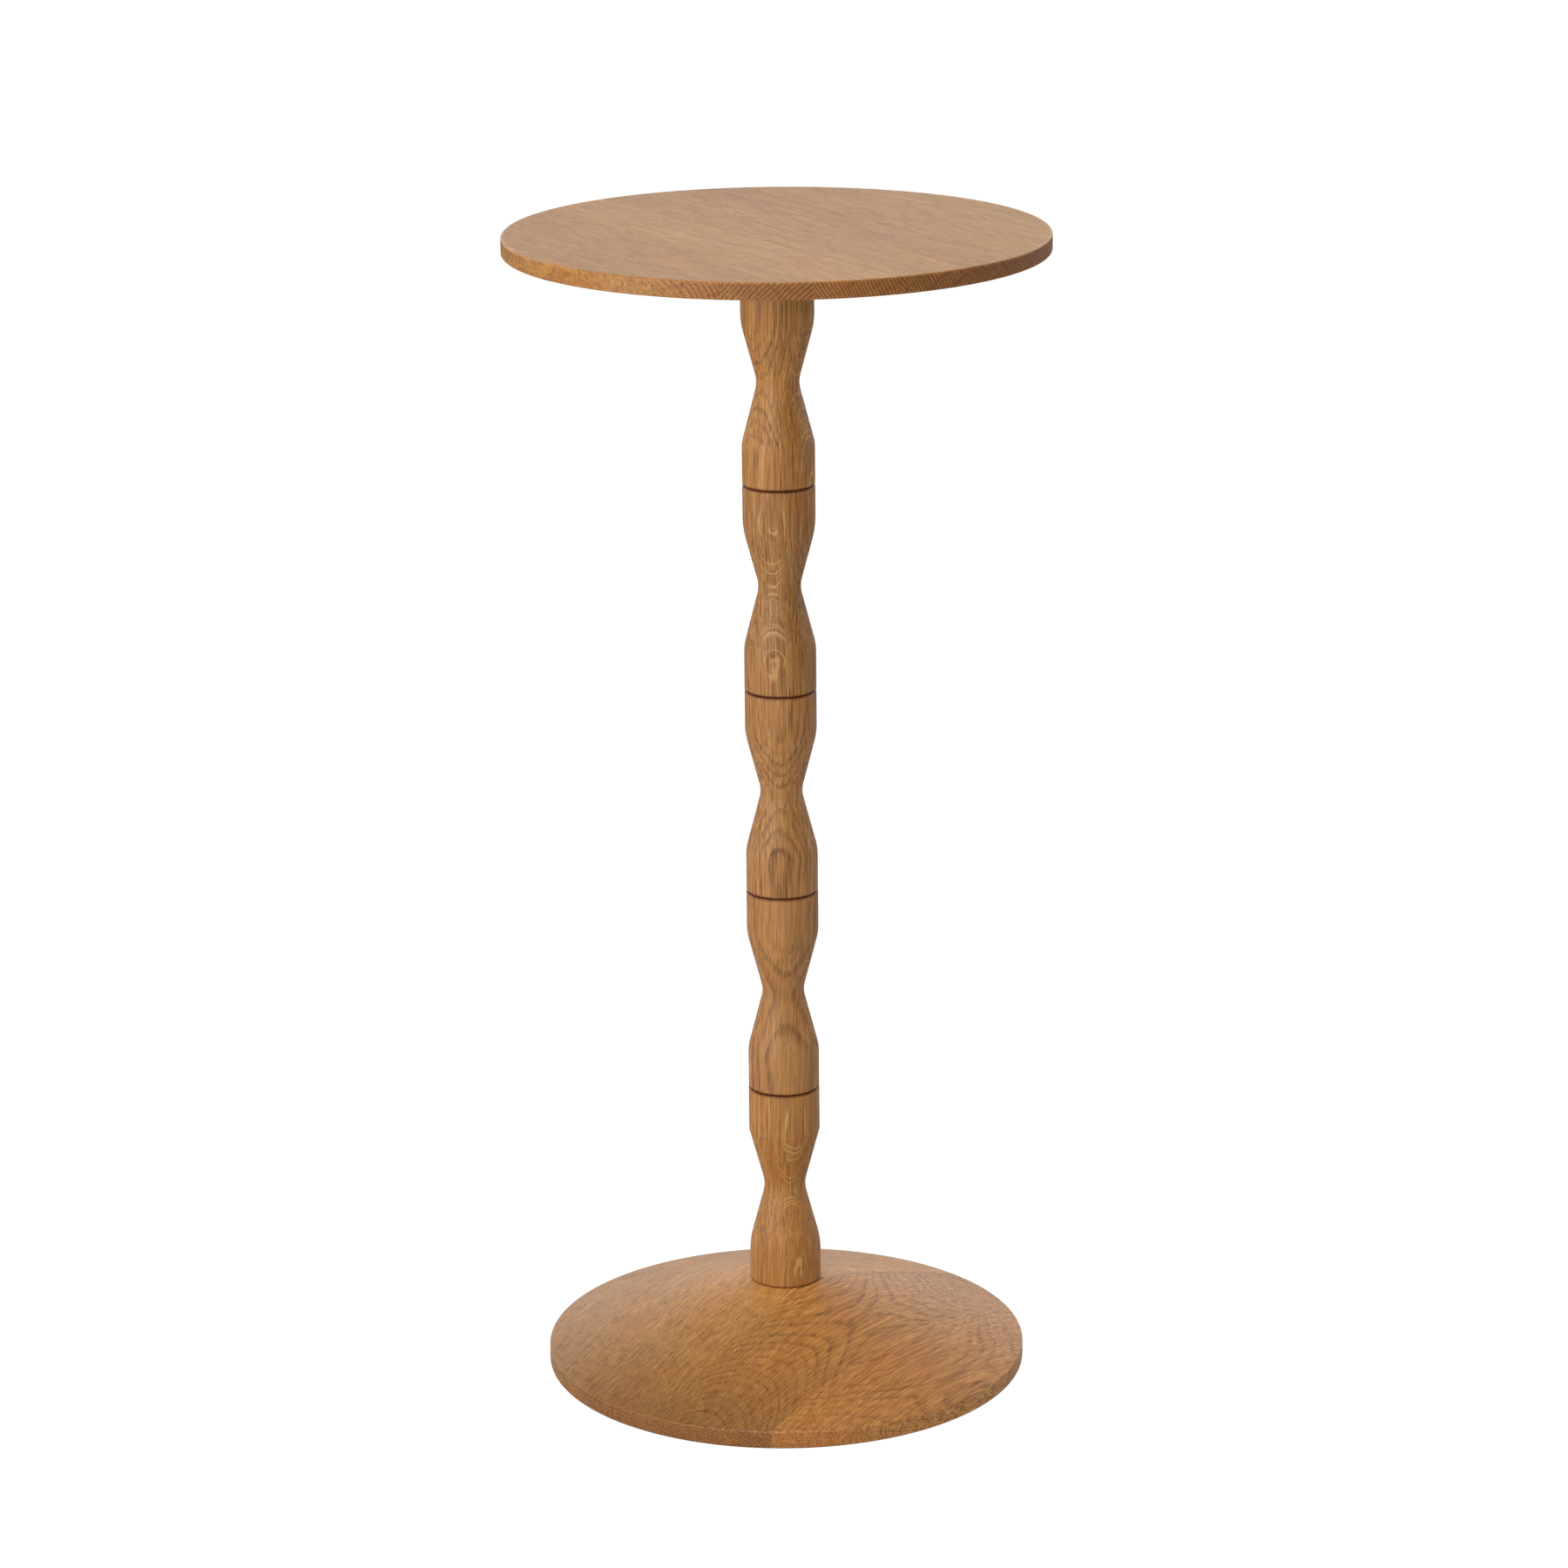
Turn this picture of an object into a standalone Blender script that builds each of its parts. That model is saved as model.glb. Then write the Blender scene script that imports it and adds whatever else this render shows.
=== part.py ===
"""Turned oak pedestal: a round top on a column of five waisted spindles, over a domed base.

Metres, +Z up. The origin is on the floor under the middle of the base, and the column stands
on the Z axis. Spindle 1 is the uppermost. Each spindle carries a steel stud in its upper end
and a threaded insert in its lower end, so the column screws together piece by piece.
"""
import math

import bmesh
import bpy
from mathutils import Matrix, Vector

# Overall sizes
TOTAL_HEIGHT = 0.658
TOP_RADIUS = 0.150
TOP_THICKNESS = 0.023            # at the middle
BASE_RADIUS = 0.137
BASE_HEIGHT = 0.049              # floor to the seat of the column
SPINDLE_COUNT = 5
FIT_GAP = 0.0003                 # between pieces that touch

# Top disc
TOP_EDGE_HEIGHT = 0.0094         # the upright edge, above the bevelled underside
TOP_FLAT_RADIUS = 0.072          # flat middle of the underside
TOP_ARRIS = 0.0010

# Spindles
SPINDLE_PITCH = (TOTAL_HEIGHT - TOP_THICKNESS - BASE_HEIGHT) / SPINDLE_COUNT
SPINDLE_RADIUS = 0.0202
SPINDLE_COLLAR = 0.0247          # straight length at each end
WAIST_CORNER_RADIUS = 0.0113     # where the two cones would meet
WAIST_ROUNDING = 0.0165
SHOULDER_ROUNDING = 0.028
SPINDLE_ARRIS = 0.0010
STUD_BORE_DEPTH = 0.027
INSERT_BORE_DEPTH = 0.024

# Base
BASE_RIM_HEIGHT = 0.0113         # top of the upright rim
BASE_SEAT_RADIUS = 0.0207
BASE_DOME_BULGE = 0.0016         # how far the dome stands out from a straight cone
BASE_DOME_STEPS = 5
BASE_ARRIS = 0.0012
BASE_RING_RADIUS = 0.113         # inner radius of the ring that the base stands on
BASE_RECESS_RADIUS = 0.108
BASE_RECESS_DEPTH = 0.004
COUNTERBORE_RADIUS = 0.017
COUNTERBORE_DEPTH = 0.013

# Screw threads, as plain cylinders
THREAD_RADIUS = 0.0037           # M8, at its pitch radius
THREAD_CHAMFER = 0.0008
STUD_GRIP = 0.0265               # length held in the spindle that carries the stud
STUD_REACH = 0.0140              # length in the next piece up
INSERT_RADIUS = 0.0070
INSERT_LENGTH = 0.0200

# Flange let into the underside of the top, and its screws
FLANGE_RADIUS = 0.038
FLANGE_THICKNESS = 0.003
FLANGE_BOSS_RADIUS = 0.009
FLANGE_BOSS_HEIGHT = 0.012
SCREW_COUNT = 4
SCREW_CIRCLE = 0.029             # radius of the circle that the screws are on
SCREW_HEAD_RADIUS = 0.0036
SCREW_HEAD_DEPTH = 0.0022
SCREW_SHANK_RADIUS = 0.0016
SCREW_LENGTH = 0.016
SCREW_POINT_LENGTH = 0.003
SCREW_SLOT = (0.0044, 0.0010, 0.0012)    # length, width and depth of each arm of the cross

# Bolt and washer under the base
WASHER_RADIUS = 0.0150
WASHER_THICKNESS = 0.0020
BOLT_HEAD_RADIUS = 0.0065
BOLT_HEAD_HEIGHT = 0.0080
BOLT_SOCKET_RADIUS = 0.0035      # to the corners of the hexagon
BOLT_SOCKET_DEPTH = 0.0040
BOLT_HOLE_RADIUS = 0.0044
BOLT_REACH = 0.0165              # length in the lowest insert

# Felt pads
PAD_COUNT = 4
PAD_RADIUS = 0.0100
PAD_THICKNESS = 0.0008
PAD_CIRCLE = 0.1240

# Facets around each kind of piece
DISC_STEPS = 64
SPINDLE_STEPS = 24
HARDWARE_STEPS = 16
ARC_STEP = math.radians(24.0)    # largest turn between two facets of a rounding
SMOOTH_ANGLE = math.radians(32.0)

# Heights that follow
HALF_GAP = FIT_GAP / 2.0
COLUMN_TOP = TOTAL_HEIGHT - TOP_THICKNESS
BASE_UNDERSIDE = PAD_THICKNESS + FIT_GAP
RECESS_CEILING = BASE_UNDERSIDE + BASE_RECESS_DEPTH
COUNTERBORE_CEILING = RECESS_CEILING + COUNTERBORE_DEPTH


def clear_scene():
    for obj in list(bpy.data.objects):
        bpy.data.objects.remove(obj, do_unlink=True)


# ---------------------------------------------------------------- materials

def surface(name, color, roughness, metallic):
    material = bpy.data.materials.new(name)
    material.use_nodes = True
    shader = material.node_tree.nodes["Principled BSDF"]
    shader.inputs["Base Color"].default_value = (*color, 1.0)
    shader.inputs["Roughness"].default_value = roughness
    shader.inputs["Metallic"].default_value = metallic
    return material


def oak_top():
    return surface("oak_top", (0.56, 0.34, 0.17), roughness=0.48, metallic=0.0)


def oak_column():
    return surface("oak_column", (0.46, 0.25, 0.10), roughness=0.48, metallic=0.0)


def oak_base():
    return surface("oak_base", (0.48, 0.24, 0.08), roughness=0.48, metallic=0.0)


def zinc_steel():
    return surface("zinc_steel", (0.62, 0.62, 0.60), roughness=0.32, metallic=1.0)


def insert_brass():
    return surface("insert_brass", (0.72, 0.53, 0.26), roughness=0.35, metallic=1.0)


def wool_felt():
    return surface("wool_felt", (0.20, 0.17, 0.14), roughness=0.95, metallic=0.0)


# ---------------------------------------------------------------- outlines

def rounded_corner(before, corner, after, rounding):
    """Points of the arc that replaces a corner of an outline."""
    back = (before - corner).normalized()
    ahead = (after - corner).normalized()
    opening = back.angle(ahead)
    turn = math.pi - opening
    reach = rounding / math.tan(opening / 2.0)
    centre = corner + (back + ahead).normalized() * (rounding / math.sin(opening / 2.0))
    first = corner + back * reach - centre
    last = corner + ahead * reach - centre
    steps = max(2, math.ceil(turn / ARC_STEP))
    points = []
    for n in range(steps + 1):
        share = n / steps
        spoke = first * math.sin((1.0 - share) * turn) + last * math.sin(share * turn)
        points.append(centre + spoke / math.sin(turn))
    return points


def outline(*corners):
    """(radius, height) points of a turned outline. A third value is the corner's rounding."""
    places = [Vector(corner[:2]) for corner in corners]
    points = []
    for n, corner in enumerate(corners):
        if len(corner) == 3:
            points += rounded_corner(places[n - 1], places[n], places[(n + 1) % len(places)], corner[2])
        else:
            points.append(places[n])
    return points


def bulging_line(start, end, bulge, steps):
    """Points between two corners on a shallow arc that stands out by the bulge."""
    start, end = Vector(start), Vector(end)
    run = end - start
    outward = Vector((-run.y, run.x)).normalized()
    points = []
    for n in range(1, steps):
        share = n / steps
        points.append(tuple(start + run * share + outward * (4.0 * bulge * share * (1.0 - share))))
    return points


# ---------------------------------------------------------------- solids

def turned(name, points, steps, material, ring=False):
    """A solid turned about Z from an outline that runs down its outer side.

    An outline that starts and ends on the axis makes a plain solid, and a ring one closes on
    itself around a through hole.
    """
    shape = bmesh.new()
    verts = [shape.verts.new((point[0], 0.0, point[1])) for point in points]
    edges = [shape.edges.new(pair) for pair in zip(verts, verts[1:])]
    if ring:
        edges.append(shape.edges.new((verts[-1], verts[0])))
    bmesh.ops.spin(shape, geom=verts + edges, cent=(0, 0, 0), axis=(0, 0, 1),
                   angle=2.0 * math.pi, steps=steps, use_merge=True)
    bmesh.ops.remove_doubles(shape, verts=shape.verts, dist=1e-6)
    bmesh.ops.recalc_face_normals(shape, faces=shape.faces)
    return finished(name, shape, material)


def finished(name, shape, material):
    """An object made from a bmesh, shaded smooth except over its sharp edges."""
    mesh = bpy.data.meshes.new(name)
    shape.to_mesh(mesh)
    shape.free()
    mesh.shade_smooth()
    mesh.set_sharp_from_angle(angle=SMOOTH_ANGLE)
    if material is not None:
        mesh.materials.append(material)
    return placed_copy(name, mesh)


def placed_copy(name, mesh, location=(0.0, 0.0, 0.0), angle=0.0):
    obj = bpy.data.objects.new(name, mesh)
    obj.location = location
    obj.rotation_euler = (0.0, 0.0, angle)
    bpy.context.collection.objects.link(obj)
    return obj


def around(count, radius, height):
    """Places on a circle about Z, between the X and Y axes."""
    for n in range(count):
        angle = 2.0 * math.pi * (n + 0.5) / count
        yield n + 1, (radius * math.cos(angle), radius * math.sin(angle), height), angle


def cut(obj, name, cutter):
    cutter.hide_render = True
    cutter.display_type = "WIRE"
    boolean = obj.modifiers.new(name, "BOOLEAN")
    boolean.operation = "DIFFERENCE"
    boolean.solver = "EXACT"
    boolean.object = cutter


# ---------------------------------------------------------------- wooden pieces

def add_top(material):
    """The disc: flat above, bevelled below to a thin upright edge, and recessed for the flange."""
    edge_bottom = TOTAL_HEIGHT - TOP_EDGE_HEIGHT
    underside = COLUMN_TOP
    plate_recess = underside + FIT_GAP + FLANGE_THICKNESS
    boss_recess = plate_recess + FLANGE_BOSS_HEIGHT + FIT_GAP
    plate_wall = FLANGE_RADIUS + FIT_GAP
    boss_wall = FLANGE_BOSS_RADIUS + FIT_GAP
    points = outline(
        (0.0, TOTAL_HEIGHT),
        (TOP_RADIUS, TOTAL_HEIGHT, TOP_ARRIS),
        (TOP_RADIUS, edge_bottom, TOP_ARRIS),
        (TOP_FLAT_RADIUS, underside),
        (plate_wall, underside),
        (plate_wall, plate_recess + FIT_GAP),
        (boss_wall, plate_recess + FIT_GAP),
        (boss_wall, boss_recess),
        (0.0, boss_recess))
    top = turned("top_disc", points, DISC_STEPS, material)
    for n, place, angle in around(SCREW_COUNT, SCREW_CIRCLE, COLUMN_TOP + FIT_GAP):
        pilot = turned(f"pilot_cutter_{n}", screw_outline(FIT_GAP), HARDWARE_STEPS, None)
        pilot.location = place
        pilot.rotation_euler.z = angle
        cut(top, f"Pilot {n}", pilot)


def add_spindles(material):
    """Five spindles from one shape: a collar at each end, and two cones that meet in a waist."""
    low = HALF_GAP
    high = SPINDLE_PITCH - HALF_GAP
    stud_wall = THREAD_RADIUS + FIT_GAP
    insert_wall = INSERT_RADIUS + FIT_GAP
    points = outline(
        (0.0, high - STUD_BORE_DEPTH),
        (stud_wall, high - STUD_BORE_DEPTH),
        (stud_wall, high),
        (SPINDLE_RADIUS, high, SPINDLE_ARRIS),
        (SPINDLE_RADIUS, SPINDLE_PITCH - SPINDLE_COLLAR, SHOULDER_ROUNDING),
        (WAIST_CORNER_RADIUS, SPINDLE_PITCH / 2.0, WAIST_ROUNDING),
        (SPINDLE_RADIUS, SPINDLE_COLLAR, SHOULDER_ROUNDING),
        (SPINDLE_RADIUS, low, SPINDLE_ARRIS),
        (insert_wall, low),
        (insert_wall, low + INSERT_BORE_DEPTH),
        (0.0, low + INSERT_BORE_DEPTH))
    first = turned("spindle_1", points, SPINDLE_STEPS, material)
    first.location.z = seam_height(1)
    for n in range(2, SPINDLE_COUNT + 1):
        placed_copy(f"spindle_{n}", first.data, location=(0.0, 0.0, seam_height(n)))


def seam_height(n):
    """Height of the lower end of spindle n."""
    return COLUMN_TOP - SPINDLE_PITCH * n


def add_base(material):
    """The domed base: an upright rim, a recessed underside, and a counterbore for the bolt."""
    seat = BASE_HEIGHT - HALF_GAP
    seat_edge = (BASE_SEAT_RADIUS, seat)
    rim_edge = (BASE_RADIUS, BASE_RIM_HEIGHT)
    points = outline(
        (BOLT_HOLE_RADIUS, seat),
        seat_edge,
        *bulging_line(seat_edge, rim_edge, BASE_DOME_BULGE, BASE_DOME_STEPS),
        (*rim_edge, BASE_ARRIS),
        (BASE_RADIUS, BASE_UNDERSIDE, BASE_ARRIS),
        (BASE_RING_RADIUS, BASE_UNDERSIDE),
        (BASE_RECESS_RADIUS, RECESS_CEILING),
        (COUNTERBORE_RADIUS, RECESS_CEILING),
        (COUNTERBORE_RADIUS, COUNTERBORE_CEILING),
        (BOLT_HOLE_RADIUS, COUNTERBORE_CEILING))
    turned("base", points, DISC_STEPS, material, ring=True)


# ---------------------------------------------------------------- joints of the column

def add_studs(material):
    """A stud in the upper end of each spindle, reaching into the piece above it."""
    half = (STUD_GRIP + STUD_REACH) / 2.0
    points = outline(
        (0.0, half),
        (THREAD_RADIUS - THREAD_CHAMFER, half),
        (THREAD_RADIUS, half - THREAD_CHAMFER),
        (THREAD_RADIUS, THREAD_CHAMFER - half),
        (THREAD_RADIUS - THREAD_CHAMFER, -half),
        (0.0, -half))
    first = turned("spindle_stud_1", points, HARDWARE_STEPS, material)
    middle = (STUD_REACH - STUD_GRIP) / 2.0
    first.location.z = seam_height(0) + middle
    for n in range(2, SPINDLE_COUNT + 1):
        placed_copy(f"spindle_stud_{n}", first.data, location=(0.0, 0.0, seam_height(n - 1) + middle))


def add_inserts(material):
    """A threaded sleeve let into the lower end of each spindle, just below flush."""
    bottom = HALF_GAP + FIT_GAP
    bore = THREAD_RADIUS + FIT_GAP
    points = outline(
        (bore, bottom + INSERT_LENGTH),
        (INSERT_RADIUS - THREAD_CHAMFER, bottom + INSERT_LENGTH),
        (INSERT_RADIUS, bottom + INSERT_LENGTH - THREAD_CHAMFER),
        (INSERT_RADIUS, bottom),
        (bore + THREAD_CHAMFER, bottom),
        (bore, bottom + THREAD_CHAMFER))
    first = turned("spindle_insert_1", points, HARDWARE_STEPS, material, ring=True)
    first.location.z = seam_height(1)
    for n in range(2, SPINDLE_COUNT + 1):
        placed_copy(f"spindle_insert_{n}", first.data, location=(0.0, 0.0, seam_height(n)))


# ---------------------------------------------------------------- flange under the top

def screw_outline(growth=0.0):
    """A countersunk wood screw, head down, with its head's face at height 0.

    Growth widens it into the cutter for its hole, which starts below the face.
    """
    head = SCREW_HEAD_RADIUS + growth
    shank = SCREW_SHANK_RADIUS + growth
    tip = SCREW_LENGTH + growth
    corners = [
        (0.0, tip),
        (shank, tip - SCREW_POINT_LENGTH),
        (shank, SCREW_HEAD_DEPTH),
        (head, growth)]
    if growth:
        corners.append((head, -growth))
    return outline(*corners, (0.0, -growth))


def add_flange(material):
    """A round plate flush in the underside, with a threaded boss that takes the top stud."""
    face = COLUMN_TOP + HALF_GAP
    bore = THREAD_RADIUS + FIT_GAP
    shoulder = face + FLANGE_THICKNESS
    points = outline(
        (bore, shoulder + FLANGE_BOSS_HEIGHT),
        (FLANGE_BOSS_RADIUS, shoulder + FLANGE_BOSS_HEIGHT),
        (FLANGE_BOSS_RADIUS, shoulder),
        (FLANGE_RADIUS, shoulder),
        (FLANGE_RADIUS, face),
        (bore + THREAD_CHAMFER, face),
        (bore, face + THREAD_CHAMFER))
    flange = turned("top_flange", points, DISC_STEPS // 2, material, ring=True)
    for n, place, angle in around(SCREW_COUNT, SCREW_CIRCLE, COLUMN_TOP + FIT_GAP):
        hole = turned(f"countersink_cutter_{n}", screw_outline(FIT_GAP), HARDWARE_STEPS, None)
        hole.location = place
        hole.rotation_euler.z = angle
        cut(flange, f"Countersink {n}", hole)


def cross_cutter(name):
    """A prism with a cross for its outline, for the recess in a screw's head."""
    length, width, depth = SCREW_SLOT
    shape = bmesh.new()
    arm = [(length / 2.0, -width / 2.0), (length / 2.0, width / 2.0), (width / 2.0, width / 2.0)]
    verts = []
    for quarter in range(4):
        turn = Matrix.Rotation(quarter * math.pi / 2.0, 3, "Z")
        verts += [shape.verts.new(turn @ Vector((x, y, depth))) for x, y in arm]
    face = shape.faces.new(verts)
    walls = bmesh.ops.extrude_face_region(shape, geom=[face])
    moved = [item for item in walls["geom"] if isinstance(item, bmesh.types.BMVert)]
    bmesh.ops.translate(shape, verts=moved, vec=(0.0, 0.0, -2.0 * depth))
    bmesh.ops.recalc_face_normals(shape, faces=shape.faces)
    return finished(name, shape, None)


def add_flange_screws(material):
    for n, place, angle in around(SCREW_COUNT, SCREW_CIRCLE, COLUMN_TOP + FIT_GAP):
        screw = turned(f"flange_screw_{n}", screw_outline(), HARDWARE_STEPS, material)
        screw.location = place
        screw.rotation_euler.z = angle
        recess = cross_cutter(f"cross_cutter_{n}")
        recess.location = place
        recess.rotation_euler.z = angle
        cut(screw, "Cross recess", recess)


# ---------------------------------------------------------------- base hardware

def add_washer(material):
    top = COUNTERBORE_CEILING - FIT_GAP
    points = outline(
        (BOLT_HOLE_RADIUS, top),
        (WASHER_RADIUS, top),
        (WASHER_RADIUS, top - WASHER_THICKNESS),
        (BOLT_HOLE_RADIUS, top - WASHER_THICKNESS))
    turned("base_washer", points, 2 * HARDWARE_STEPS, material, ring=True)


def add_bolt(material):
    """A socket-head bolt, up through the base into the lowest insert."""
    seat = COUNTERBORE_CEILING - WASHER_THICKNESS - 2.0 * FIT_GAP
    tip = BASE_HEIGHT + BOLT_REACH
    foot = seat - BOLT_HEAD_HEIGHT
    points = outline(
        (0.0, tip),
        (THREAD_RADIUS - THREAD_CHAMFER, tip),
        (THREAD_RADIUS, tip - THREAD_CHAMFER),
        (THREAD_RADIUS, seat),
        (BOLT_HEAD_RADIUS, seat),
        (BOLT_HEAD_RADIUS, foot + THREAD_CHAMFER),
        (BOLT_HEAD_RADIUS - THREAD_CHAMFER, foot),
        (0.0, foot))
    bolt = turned("base_bolt", points, 2 * HARDWARE_STEPS, material)
    socket = outline(
        (0.0, foot + BOLT_SOCKET_DEPTH),
        (BOLT_SOCKET_RADIUS, foot + BOLT_SOCKET_DEPTH),
        (BOLT_SOCKET_RADIUS, foot - BOLT_SOCKET_DEPTH),
        (0.0, foot - BOLT_SOCKET_DEPTH))
    cut(bolt, "Hexagon socket", turned("hexagon_cutter", socket, 6, None))


def add_felt_pads(material):
    points = outline(
        (0.0, PAD_THICKNESS),
        (PAD_RADIUS, PAD_THICKNESS),
        (PAD_RADIUS, 0.0),
        (0.0, 0.0))
    for n, place, _ in around(PAD_COUNT, PAD_CIRCLE, 0.0):
        pad = turned(f"felt_pad_{n}", points, 2 * HARDWARE_STEPS, material)
        pad.location = place


def main():
    clear_scene()
    steel = zinc_steel()
    add_top(oak_top())
    add_flange(steel)
    add_flange_screws(steel)
    add_spindles(oak_column())
    add_studs(steel)
    add_inserts(insert_brass())
    add_base(oak_base())
    add_washer(steel)
    add_bolt(steel)
    add_felt_pads(wool_felt())


main()
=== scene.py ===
"""Turned oak pedestal: a round top on a column of five waisted spindles, over a domed base.

Metres, +Z up, in the frame of the CAD model. Grain is worked out in millimetres, in each
board's own log: local Z runs along the grain and the pith is the local Z axis.
"""
import math

import bmesh
import bpy
from mathutils import Matrix, Vector


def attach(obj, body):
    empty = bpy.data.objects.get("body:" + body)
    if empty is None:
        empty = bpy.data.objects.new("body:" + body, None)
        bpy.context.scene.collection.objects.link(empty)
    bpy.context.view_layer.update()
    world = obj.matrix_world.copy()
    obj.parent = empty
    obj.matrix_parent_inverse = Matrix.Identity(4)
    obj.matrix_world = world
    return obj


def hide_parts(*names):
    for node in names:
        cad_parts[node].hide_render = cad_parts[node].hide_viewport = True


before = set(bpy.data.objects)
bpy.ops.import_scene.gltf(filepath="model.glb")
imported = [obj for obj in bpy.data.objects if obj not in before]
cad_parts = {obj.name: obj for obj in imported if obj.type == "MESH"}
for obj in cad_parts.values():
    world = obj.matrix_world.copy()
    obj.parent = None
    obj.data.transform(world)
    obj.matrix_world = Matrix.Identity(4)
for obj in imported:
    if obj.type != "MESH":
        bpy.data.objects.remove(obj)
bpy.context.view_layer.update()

MM = 1000.0                      # millimetres in a metre

# Overall sizes
TOTAL_HEIGHT = 0.658
TOP_RADIUS = 0.150
TOP_THICKNESS = 0.023
BASE_RADIUS = 0.137
BASE_HEIGHT = 0.049
SPINDLE_COUNT = 5
SPINDLE_PITCH = (TOTAL_HEIGHT - TOP_THICKNESS - BASE_HEIGHT) / SPINDLE_COUNT
COLUMN_TOP = TOTAL_HEIGHT - TOP_THICKNESS
FIT_GAP = 0.0003

# Top disc
TOP_EDGE_HEIGHT = 0.0094
TOP_FLAT_RADIUS = 0.072
TOP_ARRIS = 0.0011
FLANGE_RADIUS = 0.038
FLANGE_THICKNESS = 0.003
FLANGE_BOSS_RADIUS = 0.009
FLANGE_BOSS_HEIGHT = 0.012

# Spindles
SPINDLE_ARRIS = 0.0008
SEAM_GAP = 0.0005
STUD_BORE_RADIUS = 0.0040
STUD_BORE_DEPTH = 0.027
INSERT_BORE_RADIUS = 0.0073
INSERT_BORE_DEPTH = 0.024

# Base
BASE_UNDERSIDE = 0.0011
BASE_RIM_HEIGHT = 0.0113
BASE_SEAT_RADIUS = 0.0207
BASE_DOME_BULGE = 0.0016
BASE_DOME_STEPS = 14
BASE_ARRIS = 0.0012
BASE_FOOT_ROUNDING = 0.0015
BASE_RING_RADIUS = 0.113
BASE_RECESS_RADIUS = 0.108
BASE_RECESS_DEPTH = 0.004
COUNTERBORE_RADIUS = 0.017
COUNTERBORE_DEPTH = 0.013
BOLT_HOLE_RADIUS = 0.0044

# Edges
LARGEST_ARRIS = 0.0013
EDGE_MARK_WIDTH = 0.0004

# Facets
DISC_STEPS = 240
SPINDLE_STEPS = 96
ARC_STEP = math.radians(7.0)
FEWEST_ARC_STEPS = 3
SMOOTH_ANGLE = math.radians(32.0)
MERGE_DISTANCE = 1e-6
SAW_TOLERANCE = 1e-7
SAW_REACH = 0.2                  # past the edge of either disc

# Camera
SENSOR_WIDTH = 36.0
CAMERA_PLACE = (0.0, -2.6369, 1.1196)
CAMERA_PITCH = math.radians(16.365)
CAMERA_YAW = math.radians(0.032)
CAMERA_ROLL = math.radians(-0.5)
CAMERA_LENS = 112.39

# Each spindle from the top down, in millimetres: radius of each end, radius where the cones
# would meet, height of the waist, straight length of each end, and the three roundings.
SPINDLE_SHAPES = (
    {"foot": 20.2, "head": 20.3, "waist": 11.3, "waist_height": 57.5, "foot_collar": 23.5,
     "head_collar": 26.5, "waist_rounding": 17.0, "foot_rounding": 17.0, "head_rounding": 40.0},
    {"foot": 20.1, "head": 20.2, "waist": 11.3, "waist_height": 59.5, "foot_collar": 25.5,
     "head_collar": 24.5, "waist_rounding": 17.0, "foot_rounding": 30.0, "head_rounding": 48.0},
    {"foot": 20.2, "head": 20.1, "waist": 11.3, "waist_height": 58.5, "foot_collar": 24.5,
     "head_collar": 25.0, "waist_rounding": 16.0, "foot_rounding": 27.0, "head_rounding": 35.0},
    {"foot": 20.1, "head": 20.3, "waist": 11.3, "waist_height": 58.0, "foot_collar": 24.0,
     "head_collar": 25.0, "waist_rounding": 17.0, "foot_rounding": 19.0, "head_rounding": 28.0},
    {"foot": 20.3, "head": 20.2, "waist": 11.1, "waist_height": 57.5, "foot_collar": 23.0,
     "head_collar": 26.0, "waist_rounding": 19.0, "foot_rounding": 45.0, "head_rounding": 2.0},
)

# Where each spindle was sawn in its log, and how its wood differs from the rest: distance and
# bearing of the pith from the middle of the spindle (0 is towards +X), lean of the grain about X
# and Y, width of a year's growth, crowding of the pores in early wood, start of its random
# figure, contrast and tint.
SPINDLE_LOGS = (
    {"pith": 55.0, "bearing": 45.0, "lean": (2.0, 1.5), "ring": 1.9, "bands": 0.6, "seed": 11.0,
     "contrast": 1.15, "tint": (1.07, 1.06, 0.94)},
    {"pith": 70.0, "bearing": -25.0, "lean": (1.5, -1.0), "ring": 1.9, "bands": 0.4, "seed": 23.0,
     "contrast": 1.20, "tint": (0.91, 0.90, 0.85)},
    {"pith": 60.0, "bearing": 87.0, "lean": (-3.5, 0.5), "ring": 2.2, "bands": 0.65, "seed": 37.0,
     "contrast": 1.10, "tint": (1.01, 1.03, 1.10)},
    {"pith": 60.0, "bearing": 105.0, "lean": (-3.0, 3.0), "ring": 4.6, "bands": 0.6, "seed": 41.0,
     "contrast": 0.85, "tint": (0.99, 0.98, 1.03)},
    {"pith": 65.0, "bearing": 4.0, "lean": (1.0, 1.0), "ring": 1.9, "bands": 0.4, "seed": 59.0,
     "contrast": 0.90, "tint": (1.02, 1.01, 0.91)},
)

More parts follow.
